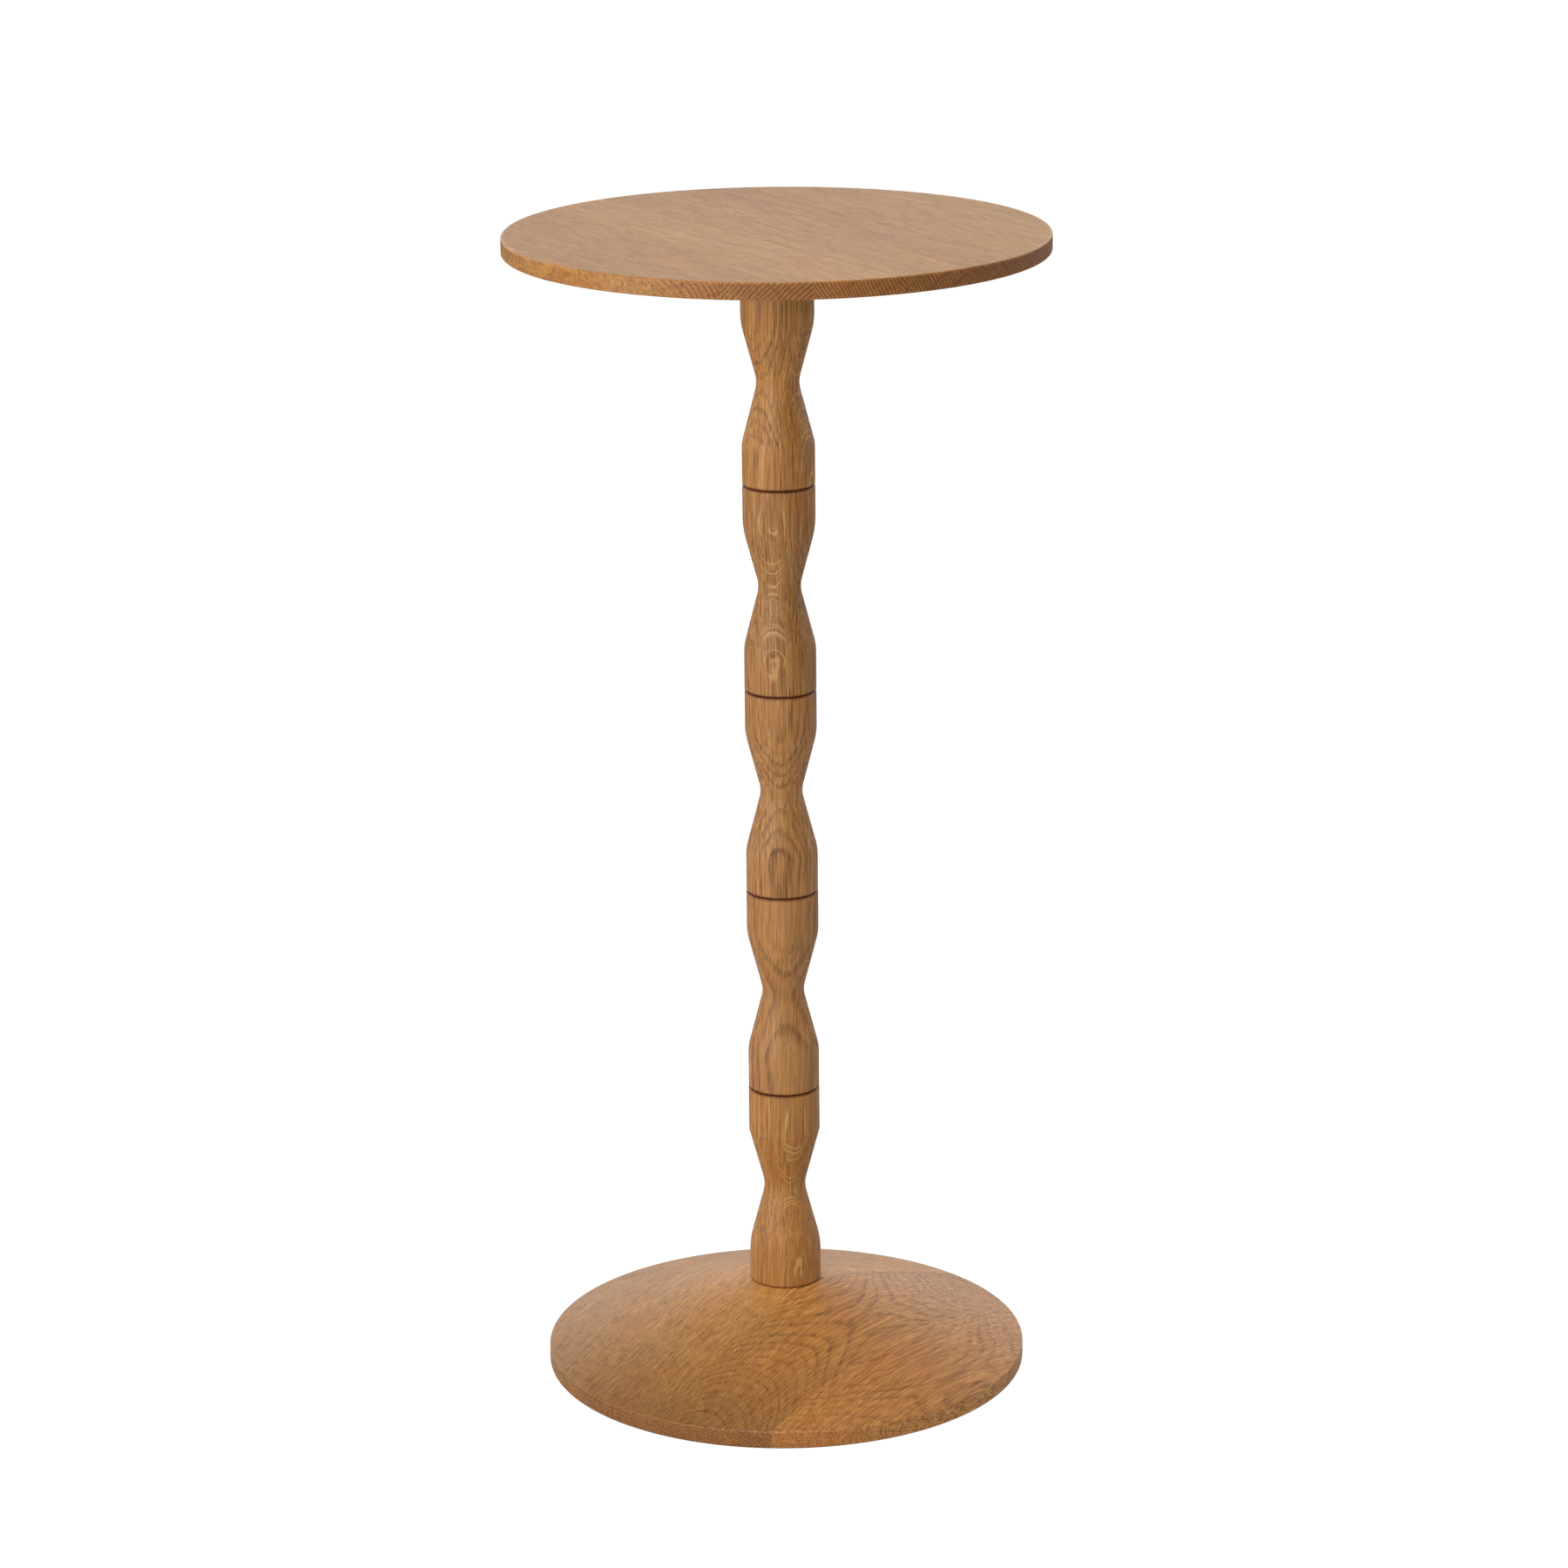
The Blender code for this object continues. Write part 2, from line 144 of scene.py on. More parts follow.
# Boards of the top, from the first across the grain to the last: where each ends, its pith
# (above the top, across the grain), width of a year's growth, crowding of the pores in early
# wood, start of its random figure, and tint.
TOP_GRAIN_ANGLE = -57.0
TOP_BOARDS = (
    {"to": -105.0, "pith": (-60.0, -230.0), "ring": 1.9, "bands": 0.2, "seed": 3.0,
     "tint": (0.95, 0.94, 0.77)},
    {"to": -65.0, "pith": (-70.0, -10.0), "ring": 1.9, "bands": 0.2, "seed": 5.0,
     "tint": (0.97, 0.98, 0.80)},
    {"to": -21.0, "pith": (-60.0, -150.0), "ring": 1.7, "bands": 0.2, "seed": 7.0,
     "tint": (1.05, 1.08, 0.90)},
    {"to": 23.0, "pith": (-75.0, -110.0), "ring": 1.8, "bands": 0.2, "seed": 9.0,
     "tint": (0.99, 1.02, 0.87)},
    {"to": 64.0, "pith": (-90.0, 140.0), "ring": 1.6, "bands": 0.2, "seed": 13.0,
     "tint": (0.97, 0.97, 0.83)},
    {"to": 106.0, "pith": (-100.0, -10.0), "ring": 1.8, "bands": 0.2, "seed": 15.0,
     "tint": (1.02, 1.05, 0.86)},
    {"to": 150.0, "pith": (-150.0, 90.0), "ring": 1.7, "bands": 0.2, "seed": 17.0,
     "tint": (1.02, 1.09, 1.00)},
)

# Boards of the base, in the same way. The painted light slope is how much paler a board gets per
# 100 mm along X, Y and Z: painted light and shade, paler towards the right, the back and the top
# of the dome by the column, and darker towards the front and the rim.
BASE_GRAIN_ANGLE = 50.0
BASE_BOARDS = (
    {"to": -81.0, "pith": (-200.0, -80.0), "ring": 1.6, "bands": 0.4, "seed": 2.0,
     "tint": (1.27, 1.21, 1.12), "painted_light_slope": (0.06, 0.08, 0.1)},
    {"to": -18.0, "pith": (-70.0, -43.0), "ring": 2.0, "bands": 0.55, "seed": 4.0,
     "tint": (1.21, 1.17, 1.07), "painted_light_slope": (0.14, 0.16, 0.6)},
    # Boards 3 and 4, towards the back, have paler and greyer tints: partly their own tone, and
    # partly a painted reflection of the bright surroundings on the far side of the dome.
    {"to": 45.0, "pith": (-250.0, 15.0), "ring": 2.4, "bands": 0.2, "seed": 6.0,
     "tint": (1.38, 1.41, 1.42), "painted_light_slope": (0.18, 0.22, 0.5)},
    {"to": 137.0, "pith": (-220.0, 50.0), "ring": 2.2, "bands": 0.2, "seed": 8.0,
     "tint": (1.34, 1.36, 1.34), "painted_light_slope": (0.16, 0.20, 0.4)},
)


# ---------------------------------------------------------------- outlines

def rounded_corner(before, corner, after, rounding):
    """Points of the arc that replaces a corner of an outline."""
    back = (before - corner).normalized()
    ahead = (after - corner).normalized()
    opening = back.angle(ahead)
    turn = math.pi - opening
    reach = rounding / math.tan(opening / 2.0)
    centre = corner + (back + ahead).normalized() * (rounding / math.sin(opening / 2.0))
    first = corner + back * reach - centre
    last = corner + ahead * reach - centre
    steps = max(FEWEST_ARC_STEPS, math.ceil(turn / ARC_STEP))
    points = []
    for n in range(steps + 1):
        share = n / steps
        spoke = first * math.sin((1.0 - share) * turn) + last * math.sin(share * turn)
        points.append(centre + spoke / math.sin(turn))
    return points


def outline(*corners):
    """(radius, height, edge mark) points of a turned outline. A corner's third value is its
    rounding.

    A small rounding is an arris: its points carry the edge mark, which is partly wear and partly
    painted light (painted shade in the seams of the column, a painted highlight on the arrises of
    the top and base), and plain points on either side hold the mark in.
    """
    places = [Vector(corner[:2]) for corner in corners]
    points = []
    for n, corner in enumerate(corners):
        before, here, after = places[n - 1], places[n], places[(n + 1) % len(places)]
        if len(corner) == 2:
            points.append((*here, 0.0))
            continue
        arris = corner[2] <= LARGEST_ARRIS
        arc = rounded_corner(before, here, after, corner[2])
        if arris:
            points.append((*(arc[0] + (before - here).normalized() * EDGE_MARK_WIDTH), 0.0))
        points += [(*point, 1.0 if arris else 0.0) for point in arc]
        if arris:
            points.append((*(arc[-1] + (after - here).normalized() * EDGE_MARK_WIDTH), 0.0))
    return points


def bulging_line(start, end, bulge, steps):
    """Points between two corners on a shallow arc that stands out by the bulge."""
    start, end = Vector(start), Vector(end)
    run = end - start
    outward = Vector((-run.y, run.x)).normalized()
    points = []
    for n in range(1, steps):
        share = n / steps
        rise = 4.0 * bulge * share * (1.0 - share)
        points.append(tuple(start + run * share + outward * rise))
    return points


# ---------------------------------------------------------------- meshes

def turned(points, steps, ring=False):
    """A bmesh turned about Z from an outline that runs down its outer side."""
    shape = bmesh.new()
    # Edge mark per point, for oak() to paint: partly wear, and partly painted shade and highlight.
    edge_wear_and_light = shape.verts.layers.float.new("edge_wear_and_light")
    verts = []
    for radius, height, edge_mark in points:
        verts.append(shape.verts.new((radius, 0.0, height)))
        verts[-1][edge_wear_and_light] = edge_mark
    edges = [shape.edges.new(pair) for pair in zip(verts, verts[1:])]
    if ring:
        edges.append(shape.edges.new((verts[-1], verts[0])))
    bmesh.ops.spin(shape, geom=verts + edges, cent=(0, 0, 0), axis=(0, 0, 1),
                   angle=2.0 * math.pi, steps=steps, use_merge=True)
    bmesh.ops.remove_doubles(shape, verts=shape.verts, dist=MERGE_DISTANCE)
    bmesh.ops.recalc_face_normals(shape, faces=shape.faces)
    return shape


def finished(name, shape, material, nodes):
    """A piece made from a bmesh, riding on the frame in place of its CAD nodes."""
    mesh = bpy.data.meshes.new(name)
    shape.to_mesh(mesh)
    shape.free()
    mesh.shade_smooth()
    mesh.set_sharp_from_angle(angle=SMOOTH_ANGLE)
    mesh.materials.append(material)
    piece = bpy.data.objects.new(name, mesh)
    bpy.context.collection.objects.link(piece)
    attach(piece, "root")
    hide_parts(*nodes)
    return piece


def sawn(shape, direction, low, high):
    """The slice of a shape between two offsets along a direction, closed where it is cut."""
    board = shape.copy()
    for offset, side in ((low, -1.0), (high, 1.0)):
        cut = bmesh.ops.bisect_plane(board, geom=board.verts[:] + board.edges[:] + board.faces[:],
                                     dist=SAW_TOLERANCE, plane_co=direction * offset,
                                     plane_no=direction * side, clear_outer=True)
        rim = [item for item in cut["geom_cut"] if isinstance(item, bmesh.types.BMEdge)]
        bmesh.ops.holes_fill(board, edges=rim)
    bmesh.ops.recalc_face_normals(board, faces=board.faces)
    return board


# ---------------------------------------------------------------- node helpers

class Graph:
    """Short ways to add nodes to a material or a node group."""

    def __init__(self, tree):
        self.tree = tree

    def node(self, kind, inputs=(), **settings):
        made = self.tree.nodes.new(kind)
        for name, value in settings.items():
            setattr(made, name, value)
        for key, value in dict(inputs).items():
            self.put(made.inputs[key], value)
        return made

    def put(self, socket, value):
        if isinstance(value, bpy.types.NodeSocket):
            self.tree.links.new(value, socket)
        else:
            socket.default_value = value

    def math(self, operation, *values):
        made = self.node("ShaderNodeMath", operation=operation)
        for socket, value in zip(made.inputs, values):
            self.put(socket, value)
        return made.outputs[0]

    def vector(self, operation, first, second):
        made = self.node("ShaderNodeVectorMath", operation=operation)
        self.put(made.inputs[0], first)
        self.put(made.inputs["Scale" if operation == "SCALE" else 1], second)
        return made.outputs["Value" if operation == "DOT_PRODUCT" else "Vector"]

    def product(self, first, second):
        return self.math("MULTIPLY", first, second)

    def ramp(self, value, low, high, to_low=0.0, to_high=1.0, kind="SMOOTHSTEP"):
        """Value carried from one range to another, held at its ends."""
        made = self.node("ShaderNodeMapRange", interpolation_type=kind,
                         inputs={"Value": value, "From Min": low, "From Max": high,
                                 "To Min": to_low, "To Max": to_high})
        return made.outputs["Result"]

    def line(self, value, low, high, to_low=0.0, to_high=1.0):
        """The same, in even steps from end to end."""
        return self.ramp(value, low, high, to_low, to_high, kind="LINEAR")

    def noise(self, place, scale=1.0, detail=2.0, roughness=0.5):
        made = self.node("ShaderNodeTexNoise", inputs={"Vector": place, "Scale": scale,
                                                       "Detail": detail, "Roughness": roughness})
        return made.outputs["Fac"]

    def cells(self, place):
        """Distance to the nearest of many scattered points, one per unit cell."""
        made = self.node("ShaderNodeTexVoronoi", inputs={"Vector": place, "Scale": 1.0})
        return made.outputs["Distance"]

    def blend(self, share, first, second, mode="MIX"):
        made = self.node("ShaderNodeMix", data_type="RGBA", blend_type=mode, clamp_factor=True)
        self.put(made.inputs["Factor"], share)
        self.put(made.inputs[6], first)
        self.put(made.inputs[7], second)
        return made.outputs[2]

    def combine(self, x, y, z):
        made = self.node("ShaderNodeCombineXYZ")
        for socket, value in zip(made.inputs, (x, y, z)):
            self.put(socket, value)
        return made.outputs[0]

    def split(self, vector):
        return tuple(self.node("ShaderNodeSeparateXYZ", inputs={"Vector": vector}).outputs)

    def object_place(self):
        return self.node("ShaderNodeTexCoord").outputs["Object"]

    def bump(self, height, strength, distance):
        made = self.node("ShaderNodeBump", inputs={"Strength": strength, "Distance": distance,
                                                   "Height": height})
        return made.outputs[0]


# ---------------------------------------------------------------- oak

PALE_FIBRE = (0.600, 0.290, 0.082, 1.0)
DARK_FIBRE = (0.345, 0.132, 0.027, 1.0)
PORE = (0.140, 0.048, 0.011, 1.0)
RAY_FLECK = (0.700, 0.390, 0.150, 1.0)
RAY_END = (0.240, 0.092, 0.022, 1.0)
COOL_CAST = (0.98, 1.02, 1.06, 1.0)
WARM_CAST = (1.02, 0.97, 0.92, 1.0)

# How each kind of piece shows its oak: fineness of pores and fibres across the grain (two ways)
# and along it, contrast of the fibres, strength of the ray flecks, strength of the rings and rays
# on the end grain, roughness of the plain wood, the place in millimetres where the painted light
# slope leaves the tint as it is, colour of the end grain, and colour of the marked edges: partly
# wear, and partly painted light, as painted shade in the seams of the column and a painted
# highlight on the arrises of the top and base.
COLUMN_CUT = {"fineness": (1.15, 0.30, 1.0), "contrast": 1.0, "flecks": 0.80, "lattice": 1.0,
              "dullness": 0.40, "middle": (0, 0, 0), "ends": (0.80, 0.72, 0.66, 1.0),
              "edges": (0.52, 0.36, 0.25, 1.0)}
TOP_CUT = {"fineness": (0.32, 1.50, 1.6), "contrast": 0.95, "flecks": 0.2, "lattice": 1.75,
           "dullness": 0.40, "middle": (0, 0, 0), "ends": (0.80, 0.68, 0.64, 1.0),
           "edges": (1.12, 1.10, 1.08, 1.0)}
BASE_CUT = {"fineness": (0.36, 1.50, 2.0), "contrast": 1.30, "flecks": 0.2, "lattice": 0.55,
            "dullness": 0.35, "middle": (0, 0, 30), "ends": (1.08, 0.97, 0.78, 1.0),
            "edges": (1.04, 1.03, 1.02, 1.0)}
NO_PAINTED_LIGHT_SLOPE = (0.0, 0.0, 0.0)
PAINTED_LIGHT_SLOPE_LENGTH = 100.0              # millimetres

# Scales of the figure, per millimetre: across the grain, then along it
DRIFT_SCALE = (0.030, 0.006)
RIPPLE_SCALE = (0.20, 0.045)
WIDE_PORE_SCALE = (1.6, 0.035)
FINE_PORE_SCALE = (2.6, 0.09)
FIBRE_SCALE = (0.85, 0.018)
CLOUD_SCALE = (0.07, 0.012)
WARMTH_SCALE = (0.035, 0.015)

# Years of growth: how far drifts and ripples bend them, in millimetres, how uneven their widths
# are, the shares of a year over which early wood sets in and fades, and the weakest year
DRIFT_REACH = 3.5
RIPPLE_REACH = 0.35
YEAR_SPREAD = 0.9
YEAR_SPREAD_SCALE = 0.45
EARLY_ONSET = (0.0, 0.09)
EARLY_FADE = (0.14, 0.60)
WEAKEST_YEAR = 0.35

# How squarely the surface has to face along the grain, or along the years, to show that cut
END_CUT = (0.35, 0.95)
QUARTER_CUT = (0.80, 0.97)

# Pores: radius in plain wood and in early wood, softness of their walls, and depth of their colour
CROWDED = 0.6
PORE_RADIUS = (0.26, 0.54)
WIDE_PORE_WALL = (0.03, -0.08)
FINE_PORE_WALL = (0.42, 0.20)
FINE_PORE_STRENGTH = 0.4
PORE_DEPTH = 0.66

# Rays: sheets per radian, their wander, breaks outward and upward per millimetre, and thickness
RAYS_PER_RADIAN = 190.0
RAY_WANDER = 4.0
RAY_WANDER_SCALE = (0.10, 0.06)
RAY_BREAKS = (0.012, 0.045)
RAY_THICKNESS = (0.59, 0.66)
RAY_END_STRENGTH = (0.60, 0.25)

# Colour: range of the fibres, how much of it is left on the end grain, and slow changes of tone
FIBRE_RANGE = (0.34, 0.66)
END_CONTRAST = 0.5
BAND_DEPTH = -0.34
CLOUD_RANGE = (0.25, 0.75, 0.97, 1.09)
WARMTH_RANGE = (0.35, 0.65)

# Gloss and relief: fibre and pores are duller than plain wood, and flecks and marked edges glossier
FIBRE_DULLNESS = 0.10
PORE_DULLNESS = 0.16
FLECK_GLOSS = -0.10
EDGE_MARK_GLOSS = -0.10
FIBRE_RELIEF = 0.5
PORE_RELIEF = -1.0
OAK_BUMP = (0.5, 0.00012)
OAK_IOR = 1.5
EDGE_MARK_SCALE = 260.0
EDGE_MARK_RANGE = (0.30, 0.60, 0.6, 1.0)


class Grain:
    """A place in the log, in millimetres, and its figure drawn out across and along the grain."""

    def __init__(self, graph, given):
        self.graph = graph
        self.across, self.aside, self.along = graph.split(given["Place"])
        self.fineness = graph.split(given["Fineness"])
        self.seed = given["Seed"]

    def stretched(self, fine, coarse):
        """The place scaled across the grain and along it."""
        graph = self.graph
        return graph.combine(graph.product(self.across, fine), graph.product(self.aside, fine),
                             graph.math("MULTIPLY_ADD", self.along, coarse, self.seed))

    def threads(self, fine, coarse):
        """The same, drawn out as this log's pores and fibres are."""
        graph = self.graph
        fine_across, fine_aside, fine_along = self.fineness
        return graph.combine(graph.product(self.across, graph.product(fine_across, fine)),
                             graph.product(self.aside, graph.product(fine_aside, fine)),
                             graph.math("MULTIPLY_ADD", graph.product(self.along, fine_along),
                                        coarse, self.seed))


def growth(graph, grain, ring):
    """Distance from the pith, bent by slow drifts, and how early in the year the wood grew.

    Each year has a porous start that fades into plain wood. The last value is the same, with
    some years weaker than others.
    """
    drift = graph.line(graph.noise(grain.stretched(*DRIFT_SCALE), detail=1.0), 0.0, 1.0,
                       -DRIFT_REACH, DRIFT_REACH)
    ripple = graph.line(graph.noise(grain.stretched(*RIPPLE_SCALE)), 0.0, 1.0,
                        -RIPPLE_REACH, RIPPLE_REACH)
    radius = graph.math("SQRT", graph.math("ADD", graph.product(grain.across, grain.across),
                                           graph.product(grain.aside, grain.aside)))
    radius = graph.math("ADD", radius, graph.math("ADD", drift, ripple))
    year = graph.math("DIVIDE", radius, ring)
    spread = graph.noise(graph.combine(graph.product(year, YEAR_SPREAD_SCALE), grain.seed, 0.0),
                         detail=1.0)
    year = graph.math("MULTIPLY_ADD", spread, YEAR_SPREAD, year)
    phase = graph.math("FRACT", year)
    early = graph.product(graph.ramp(phase, *EARLY_ONSET), graph.ramp(phase, *EARLY_FADE, 1.0, 0.0))
    strength = graph.node("ShaderNodeTexWhiteNoise", noise_dimensions="1D",
                          inputs={"W": graph.math("FLOOR", year)}).outputs["Value"]
    return radius, early, graph.product(early, graph.line(strength, 0.0, 1.0, WEAKEST_YEAR, 1.0))


def cuts(graph, bearing, facing):
    """How much the surface shows of the end of the grain, and of the sides of the rays."""
    facing_across, facing_aside, facing_along = graph.split(facing)
    end_cut = graph.ramp(graph.math("ABSOLUTE", facing_along), *END_CUT)
    sideways = graph.math("SUBTRACT",
                          graph.product(facing_aside, graph.math("COSINE", bearing)),
                          graph.product(facing_across, graph.math("SINE", bearing)))
    return end_cut, graph.ramp(graph.math("ABSOLUTE", sideways), *QUARTER_CUT)


def pores(graph, grain, banded):
    """Pores: wide vessels, crowded where the early wood is, and fine ones throughout."""
    size = graph.line(banded, 0.0, CROWDED, *PORE_RADIUS)
    wide = graph.math("SUBTRACT", graph.cells(grain.threads(*WIDE_PORE_SCALE)), size)
    fine = graph.ramp(graph.cells(grain.threads(*FINE_PORE_SCALE)), *FINE_PORE_WALL)
    return graph.math("MAXIMUM", graph.ramp(wide, *WIDE_PORE_WALL),
                      graph.product(fine, FINE_PORE_STRENGTH))


def rays(graph, grain, radius, bearing):
    """Rays: thin upright sheets that run out from the pith."""
    wander = graph.noise(graph.combine(graph.product(radius, RAY_WANDER_SCALE[0]), grain.seed,
                                       graph.product(grain.along, RAY_WANDER_SCALE[1])))
    arc = graph.math("MULTIPLY_ADD", wander, RAY_WANDER, graph.product(bearing, RAYS_PER_RADIAN))
    outward, upward = RAY_BREAKS
    place = graph.combine(arc, graph.product(radius, outward),
                          graph.math("MULTIPLY_ADD", grain.along, upward, grain.seed))
    return graph.ramp(graph.noise(place, detail=1.0), *RAY_THICKNESS)


def plain_color(graph, grain, given, fibre, banded, end_cut):
    """Fibres between dark and pale, and slow changes of tone and warmth."""
    depth = graph.product(given["Contrast"], graph.line(end_cut, 0.0, 1.0, 1.0, END_CONTRAST))
    paleness = graph.line(fibre, *FIBRE_RANGE, -0.5, 0.5)
    color = graph.blend(graph.math("MULTIPLY_ADD", paleness, depth, 0.5), DARK_FIBRE, PALE_FIBRE)
    cloud = graph.noise(grain.stretched(*CLOUD_SCALE))
    tone = graph.math("MULTIPLY_ADD", banded, BAND_DEPTH, graph.line(cloud, *CLOUD_RANGE))
    warmth = graph.line(graph.noise(grain.stretched(*WARMTH_SCALE)), *WARMTH_RANGE)
    return graph.blend(1.0, graph.vector("SCALE", color, tone),
                       graph.blend(warmth, COOL_CAST, WARM_CAST), "MULTIPLY")


def oak_group():
    """Solid oak: rings, pores, rays and fibre from a place in the log, in millimetres."""
    group = bpy.data.node_groups.new("oak", "ShaderNodeTree")
    for way, kind, names in (
            ("INPUT", "NodeSocketVector", ("Place", "Facing", "Fineness")),
            ("INPUT", "NodeSocketColor", ("Ends",)),
            ("INPUT", "NodeSocketFloat", ("Ring", "Bands", "Contrast", "Flecks", "Lattice",
                                          "Dullness", "Seed")),
            ("OUTPUT", "NodeSocketColor", ("Color",)),
            ("OUTPUT", "NodeSocketFloat", ("Roughness", "Height"))):
        for name in names:
            group.interface.new_socket(name, in_out=way, socket_type=kind)
    graph = Graph(group)
    given = graph.node("NodeGroupInput").outputs
    grain = Grain(graph, given)
    radius, early, uneven = growth(graph, grain, given["Ring"])
    bearing = graph.math("ARCTAN2", grain.aside, grain.across)
    end_cut, quarter_cut = cuts(graph, bearing, given["Facing"])
    end_lattice = graph.product(end_cut, given["Lattice"])
    banded = graph.math("MAXIMUM", graph.product(uneven, given["Bands"]),
                        graph.product(early, end_lattice))
    pore = pores(graph, grain, banded)
    ray = rays(graph, grain, radius, bearing)
    fleck = graph.product(ray, graph.product(quarter_cut, graph.math("SUBTRACT", 1.0, end_cut)))
    ray_end = graph.product(graph.math("SUBTRACT", ray, fleck),
                            graph.math("MULTIPLY_ADD", end_lattice, *RAY_END_STRENGTH))
    fibre = graph.noise(grain.threads(*FIBRE_SCALE), detail=4.0, roughness=0.65)

    color = plain_color(graph, grain, given, fibre, banded, end_cut)
    color = graph.blend(graph.product(pore, graph.product(given["Contrast"], PORE_DEPTH)),
                        color, PORE)
    color = graph.blend(ray_end, color, RAY_END)
    color = graph.blend(graph.product(fleck, given["Flecks"]), color, RAY_FLECK)
    color = graph.blend(end_cut, color, graph.blend(1.0, color, given["Ends"], "MULTIPLY"))

    dullness = graph.math("MULTIPLY_ADD", pore, PORE_DULLNESS, given["Dullness"])
    dullness = graph.math("MULTIPLY_ADD", fibre, FIBRE_DULLNESS, dullness)
    graph.node("NodeGroupOutput", inputs={
        "Color": color,
        "Roughness": graph.math("MULTIPLY_ADD", fleck, FLECK_GLOSS, dullness),
        "Height": graph.math("MULTIPLY_ADD", pore, PORE_RELIEF,
                             graph.product(fibre, FIBRE_RELIEF))})
    return group


def oak(name, group, pith, turn, log, cut):
    """Oak sawn from a log whose pith passes through a point and runs along a turned Z."""
    material, graph, shader = new_material(name)
    place = graph.object_place()
    place_mm = graph.vector("SCALE", place, MM)
    normal = graph.node("ShaderNodeNewGeometry").outputs["Normal"]
    in_log = graph.node("ShaderNodeMapping", vector_type="TEXTURE",
                        inputs={"Vector": place_mm, "Location": pith, "Rotation": turn})
    facing = graph.node("ShaderNodeMapping", vector_type="TEXTURE",
                        inputs={"Vector": normal, "Rotation": turn})
    wood = graph.node("ShaderNodeGroup", node_tree=group, inputs={
        "Place": in_log.outputs[0], "Facing": facing.outputs[0], "Fineness": cut["fineness"],
        "Ends": cut["ends"], "Contrast": cut["contrast"] * log.get("contrast", 1.0),
        "Lattice": cut["lattice"], "Dullness": cut["dullness"], "Flecks": cut["flecks"],
        "Ring": log["ring"], "Bands": log["bands"], "Seed": log["seed"]}).outputs

    # Painted light and shade: each board gets paler or darker along its painted light slope, from
    # the middle of its cut.
    painted_light_slope = [value / PAINTED_LIGHT_SLOPE_LENGTH for value in log.get("painted_light_slope", NO_PAINTED_LIGHT_SLOPE)]
    from_middle = graph.vector("SUBTRACT", place_mm, cut["middle"])
    shade = graph.math("ADD", graph.vector("DOT_PRODUCT", from_middle, painted_light_slope), 1.0)
    color = graph.vector("SCALE", graph.vector("MULTIPLY", wood["Color"], log["tint"]), shade)
    # The edge mark, patchy along the arrises: partly wear, and partly painted light, darker as
    # painted shade in the column's seams and paler as a painted highlight on the top and base.
    edge_wear_and_light_mask = graph.product(graph.node("ShaderNodeAttribute", attribute_name="edge_wear_and_light").outputs["Fac"],
                           graph.ramp(graph.noise(place, scale=EDGE_MARK_SCALE), *EDGE_MARK_RANGE))
    edge_wear_and_light_color = graph.blend(1.0, color, cut["edges"], "MULTIPLY")
    graph.put(shader["Base Color"], graph.blend(edge_wear_and_light_mask, color, edge_wear_and_light_color))
    graph.put(shader["Roughness"],
              graph.math("MULTIPLY_ADD", edge_wear_and_light_mask, EDGE_MARK_GLOSS, wood["Roughness"]))
    graph.put(shader["Normal"], graph.bump(wood["Height"], *OAK_BUMP))
    shader["IOR"].default_value = OAK_IOR
    return material


def spindle_oak(name, group, log, height):
    """Oak with upright grain, for the spindle whose lower end is at a height."""
    bearing = math.radians(log["bearing"])
    pith = (log["pith"] * math.cos(bearing), log["pith"] * math.sin(bearing), MM * height)
    turn = (math.radians(log["lean"][0]), math.radians(log["lean"][1]), 0.0)
    return oak(name, group, pith, turn, log, COLUMN_CUT)


def board_oak(name, group, board, angle, height, cut):
    """Oak with level grain. A board's pith is (above the height, across the grain)."""
    bearing = math.radians(angle)
    above, across = board["pith"]
    pith = (-across * math.sin(bearing), across * math.cos(bearing), MM * height + above)
    return oak(name, group, pith, (0.0, math.pi / 2.0, bearing), board, cut)


# ---------------------------------------------------------------- metal and felt

# Metals: colour where stained and where bright, roughness where bright, and scale of the stains
ZINC = ((0.42, 0.42, 0.40, 1.0), (0.62, 0.63, 0.62, 1.0), 0.26, 180.0)
BRASS = ((0.50, 0.33, 0.12, 1.0), (0.76, 0.56, 0.27, 1.0), 0.22, 240.0)
STAIN_RANGE = (0.35, 0.65)
STAIN_DULLNESS = 0.12
STAIN_DULLNESS_RANGE = (0.30, 0.70)
SCRATCH_SCALE = 9000.0
SCRATCH_DULLNESS = 0.10
METAL_BUMP = (0.35, 0.00004)

DARK_WOOL = (0.032, 0.024, 0.018, 1.0)
PALE_WOOL = (0.070, 0.054, 0.040, 1.0)
WOOL_SCALE = 2400.0
WOOL_PATCH_SCALE = 260.0
WOOL_RANGE = (0.35, 0.65)
WOOL_ROUGHNESS = (0.3, 0.7, 0.88, 1.0)
WOOL_BUMP = (0.8, 0.0003)


def new_material(name):
    """A material, its graph and the inputs of its shader."""
    material = bpy.data.materials.new(name)
    material.use_nodes = True
    shader = material.node_tree.nodes["Principled BSDF"]
    return material, Graph(material.node_tree), shader.inputs


